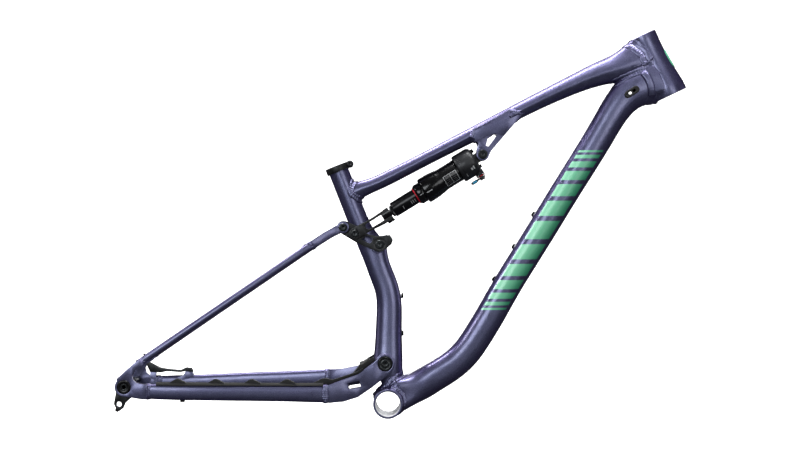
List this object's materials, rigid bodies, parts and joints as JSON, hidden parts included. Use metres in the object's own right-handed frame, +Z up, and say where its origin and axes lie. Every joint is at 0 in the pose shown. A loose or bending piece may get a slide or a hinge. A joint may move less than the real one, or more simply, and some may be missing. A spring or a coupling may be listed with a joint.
{
  "type": "bicycle frame",
  "caption": "Full-suspension mountain bike frame with flex-stay rear end, rocker link, yoke and air shock, press-fit bottom bracket, tapered head tube and thru axle.",
  "frame": {"origin": "centre of the bottom bracket shell", "axes": "+X forward towards the head tube, +Y the rider's left, +Z up; the drive side is -Y; the frame stands about two degrees nose-up from its riding position"},
  "size_m": [0.961, 0.1694, 0.6572],
  "materials": {
    "purple_paint": "satin metallic purple paint on aluminium",
    "black_anodised": "satin black anodised",
    "black_steel": "black oxide",
    "shock_black": "gloss black anodised",
    "bearing_steel": "ground",
    "black_rubber": "matt",
    "black_plastic": "matt",
    "red_rubber": "satin",
    "red_anodised": "satin",
    "silver": "machined",
    "bronze": "plain"
  },
  "bodies": {
    "front_triangle": {"head_tube": "purple_paint", "bottom_bracket_shell": "purple_paint", "main_pivot_boss": "purple_paint", "rocker_pivot_bosses": "purple_paint", "seat_tube": "purple_paint", "down_tube": "purple_paint", "top_tube": "purple_paint", "shock_mount_bracket": "purple_paint", "shock_mount_bolt": "black_steel", "main_pivot_axle": "bearing_steel", "main_pivot_caps": "black_steel", "rocker_pivot_bolts": "black_steel", "seat_clamp_collar": "black_anodised", "seat_clamp_bolt": "black_steel", "bottle_rivnuts": "silver", "bottle_bolts": "black_steel", "cable_port_covers": "black_plastic", "cable_port_screws": "black_steel"},
    "swingarm": {"chainstay_pivot_arm_right": "purple_paint", "chainstay_pivot_arm_left": "purple_paint", "main_pivot_bearings": "bearing_steel", "chainstay_bridge": "purple_paint", "dropout_right": "purple_paint", "dropout_left": "purple_paint", "derailleur_hanger": "black_anodised", "hanger_thread_insert": "silver", "hanger_bolt": "black_steel", "chainstay_right": "purple_paint", "chainstay_left": "purple_paint", "chainstay_protector": "black_rubber", "pivot_mud_guard": "black_rubber", "brake_mount_posts": "purple_paint", "brake_adapter": "black_anodised", "brake_adapter_bolts": "black_steel"},
    "flex_stays": {"seatstay_right": "purple_paint", "seatstay_left": "purple_paint", "seatstay_fork_end_right": "purple_paint", "seatstay_fork_end_left": "purple_paint", "seatstay_bridge": "purple_paint", "seatstay_pivot_bolts": "black_steel"},
    "rocker": {"rocker_link": "black_anodised", "rocker_bearings": "bearing_steel"},
    "shock_body": {"shock_head": "shock_black", "shock_eye_bushing": "bronze", "shock_air_can": "shock_black", "shock_seal_head": "shock_black", "damper_rod": "bearing_steel", "damper_piston": "silver", "shock_port_caps": "shock_black"},
    "shock_rod": {"shock_shaft": "shock_black", "air_piston": "silver", "shock_rear_block": "shock_black", "shock_yoke": "black_anodised", "yoke_shock_bolt": "black_steel", "yoke_pivot_bolts": "black_steel"},
    "oring": {"travel_oring": "red_rubber"},
    "lever": {"lockout_lever": "black_anodised"},
    "knob": {"rebound_knob": "red_anodised"},
    "axle": {"thru_axle": "black_steel"}
  },
  "joints": [
    {"name": "main_pivot", "type": "hinge", "parent": "front_triangle", "child": "swingarm", "pos_m": [-0.0047, 0, 0.067], "axis": [0, 1, 0], "range_deg": [0, 14.5]},
    {"name": "seatstay_flex", "type": "hinge", "parent": "swingarm", "child": "flex_stays", "pos_m": [-0.4, 0, 0.079], "axis": [0, 1, 0], "range_deg": [-4.36, 0], "deforming": ["seatstay_right", "seatstay_left"]},
    {"name": "rocker_pivot", "type": "hinge", "parent": "front_triangle", "child": "rocker", "pos_m": [-0.014, 0, 0.2675], "axis": [0, 1, 0], "range_deg": [0, 54.4]},
    {"name": "shock_front_eye", "type": "hinge", "parent": "front_triangle", "child": "shock_body", "pos_m": [0.1605, 0, 0.4197], "axis": [0, 1, 0], "range_deg": [0, 1.43]},
    {"name": "shock_stroke", "type": "slide", "parent": "shock_body", "child": "shock_rod", "axis": [0.8498, 0, 0.5272], "range_m": [0, 0.04104]},
    {"name": "oring_travel", "type": "slide", "parent": "shock_rod", "child": "oring", "axis": [-0.8498, 0, -0.5272], "range_m": [0, 0.04104]},
    {"name": "lockout_lever_turn", "type": "hinge", "parent": "shock_body", "child": "lever", "pos_m": [0.15794, 0, 0.38399], "axis": [0.5272, 0, -0.8498], "range_deg": [0, 90]},
    {"name": "rebound_knob_turn", "type": "hinge", "parent": "shock_body", "child": "knob", "pos_m": [0.15794, 0, 0.38399], "axis": [0.5272, 0, -0.8498], "range_deg": [0, 300]},
    {"name": "thru_axle_withdraw", "type": "slide", "parent": "swingarm", "child": "axle", "axis": [0, 1, 0], "range_m": [0, 0.19]}
  ],
  "couplings": [
    {"joint": "seatstay_flex", "follows": "main_pivot", "ratio": -0.29897},
    {"joint": "rocker_pivot", "follows": "main_pivot", "ratio": 3.7483},
    {"joint": "shock_front_eye", "follows": "main_pivot", "ratio": 0.097891},
    {"joint": "shock_stroke", "follows": "main_pivot", "m_per_rad": 0.16197},
    {"joint": "oring_travel", "follows": "main_pivot", "m_per_rad": 0.16197}
  ]
}
